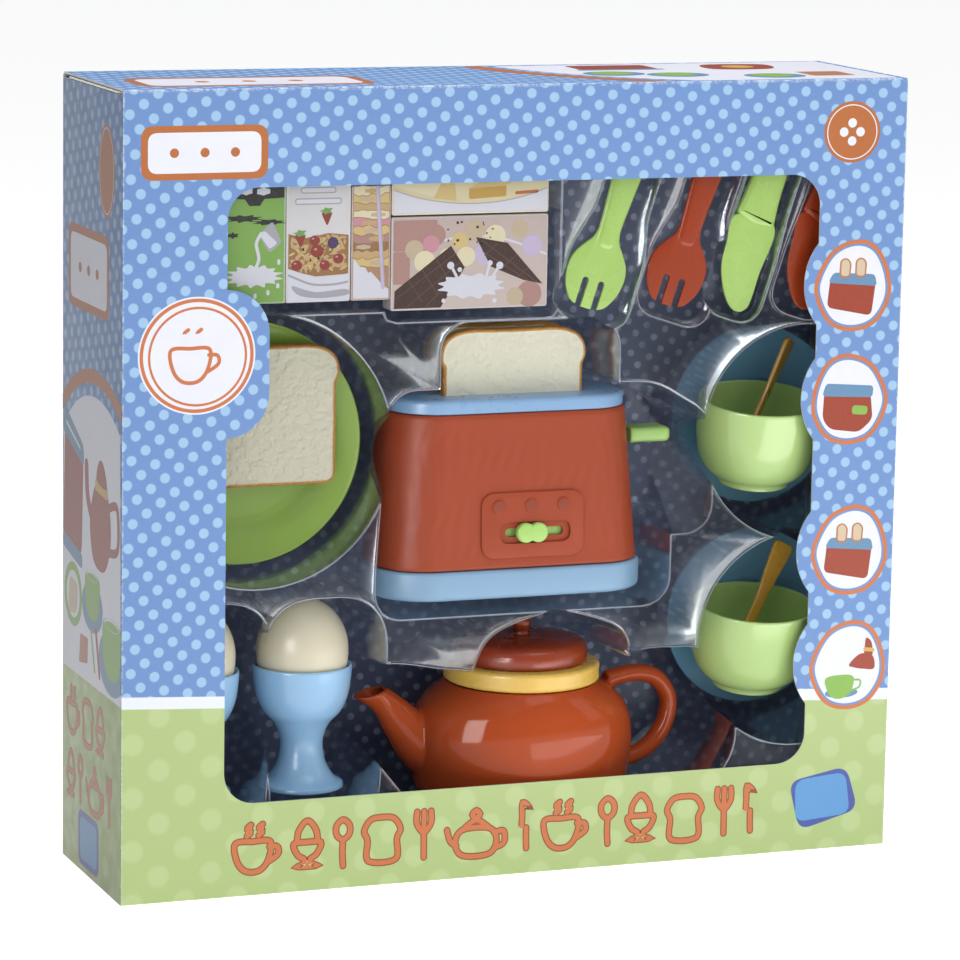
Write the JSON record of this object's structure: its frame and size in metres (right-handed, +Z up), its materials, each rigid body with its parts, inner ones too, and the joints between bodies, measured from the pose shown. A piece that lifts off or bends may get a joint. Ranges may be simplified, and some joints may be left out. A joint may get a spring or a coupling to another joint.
{
  "type": "boxed toy breakfast set",
  "caption": "Window carton with a clear pocket tray that holds a pop-up toy toaster, teapot, cups, saucers, plates, egg cups, cutlery and play food.",
  "frame": {"origin": "middle of the carton's underside, on the surface that it stands on", "axes": "+X along the front panel to its right as seen from the front, +Y from the front panel to the back, +Z up"},
  "size_m": [0.38, 0.098, 0.367],
  "materials": {
    "printed_board": "satin printed folding boxboard, blue with light dots",
    "plain_board": "unprinted white boxboard",
    "navy_card": "printed dark card with dim dots",
    "clear_sheet": "clear thermoformed sheet",
    "food_white": "printed white",
    "food_tan": "printed tan",
    "food_cream": "printed cream",
    "green_plastic": "smooth light green",
    "red_gloss": "smooth red-orange",
    "plate_green": "smooth leaf green",
    "bread": "cream crumb with a tan crust",
    "egg_cup_blue": "smooth light blue",
    "egg_shell": "satin cream",
    "toaster_blue": "smooth light blue",
    "toaster_red": "satin red-orange with faint waves",
    "spring_steel": "drawn wire",
    "pot_brown": "glossy orange-brown",
    "collar_yellow": "smooth yellow",
    "lid_brown": "glossy red-brown",
    "saucer_blue": "smooth mid blue",
    "cup_green": "glossy light green",
    "spoon_ochre": "smooth ochre"
  },
  "bodies": {
    "package": {"carton_sleeve": "printed_board", "carton_bottom_lid": "printed_board", "carton_bottom_dust_flap_left": "plain_board", "carton_bottom_dust_flap_right": "plain_board", "backing_card": "navy_card", "blister_tray": "clear_sheet", "milk_carton": "food_white", "cereal_box": "food_white", "cookie_box": "food_tan", "chocolate_box": "food_tan", "butter_box": "food_cream", "fork_green": "green_plastic", "fork_red": "red_gloss", "knife_green": "green_plastic", "knife_red": "red_gloss", "plate_front": "plate_green", "plate_rear": "plate_green", "toast_on_plate": "bread", "egg_cup_left": "egg_cup_blue", "egg_left": "egg_shell", "egg_cup_right": "egg_cup_blue", "egg_right": "egg_shell", "toaster_base": "toaster_blue", "toaster_shell": "toaster_red", "toaster_top_rim": "toaster_blue", "toaster_lift_spring": "spring_steel", "teapot_body": "pot_brown", "teapot_collar": "collar_yellow", "saucer_lower": "saucer_blue", "cup_lower": "cup_green", "spoon_lower": "spoon_ochre", "saucer_upper": "saucer_blue", "cup_upper": "cup_green", "spoon_upper": "spoon_ochre"},
    "lid": {"carton_lid": "printed_board"},
    "dust_flap_left": {"carton_dust_flap_left": "plain_board"},
    "dust_flap_right": {"carton_dust_flap_right": "plain_board"},
    "bread_lifter": {"toaster_bread_carriage": "toaster_blue", "toaster_lever": "green_plastic", "toast_front": "bread", "toast_rear": "bread"},
    "browning_knob": {"toaster_browning_knob": "green_plastic"},
    "pot_lid": {"teapot_lid": "lid_brown"}
  },
  "joints": [
    {"name": "carton_lid_fold", "type": "hinge", "parent": "package", "child": "lid", "pos_m": [0, -0.0486, 0.3666], "axis": [1, 0, 0], "range_deg": [0, 180]},
    {"name": "dust_flap_left_fold", "type": "hinge", "parent": "package", "child": "dust_flap_left", "pos_m": [-0.1896, 0, 0.3653], "axis": [0, -1, 0], "range_deg": [0, 90]},
    {"name": "dust_flap_right_fold", "type": "hinge", "parent": "package", "child": "dust_flap_right", "pos_m": [0.1896, 0, 0.3653], "axis": [0, 1, 0], "range_deg": [0, 90]},
    {"name": "toaster_lever_slide", "type": "slide", "parent": "package", "child": "bread_lifter", "axis": [0, 0, -1], "range_m": [0, 0.028], "stiffness_N_per_m": 80, "springref_m": -0.02, "deforming": ["toaster_lift_spring"]},
    {"name": "browning_knob_slide", "type": "slide", "parent": "package", "child": "browning_knob", "axis": [1, 0, 0], "range_m": [-0.0072, 0.0114]},
    {"name": "teapot_lid_lift", "type": "slide", "parent": "package", "child": "pot_lid", "axis": [0, 0, 1], "range_m": [0, 0.003]}
  ],
  "couplings": [
    {"joint": "dust_flap_left_fold", "follows": "carton_lid_fold", "ratio": 0.5},
    {"joint": "dust_flap_right_fold", "follows": "carton_lid_fold", "ratio": 0.5}
  ]
}
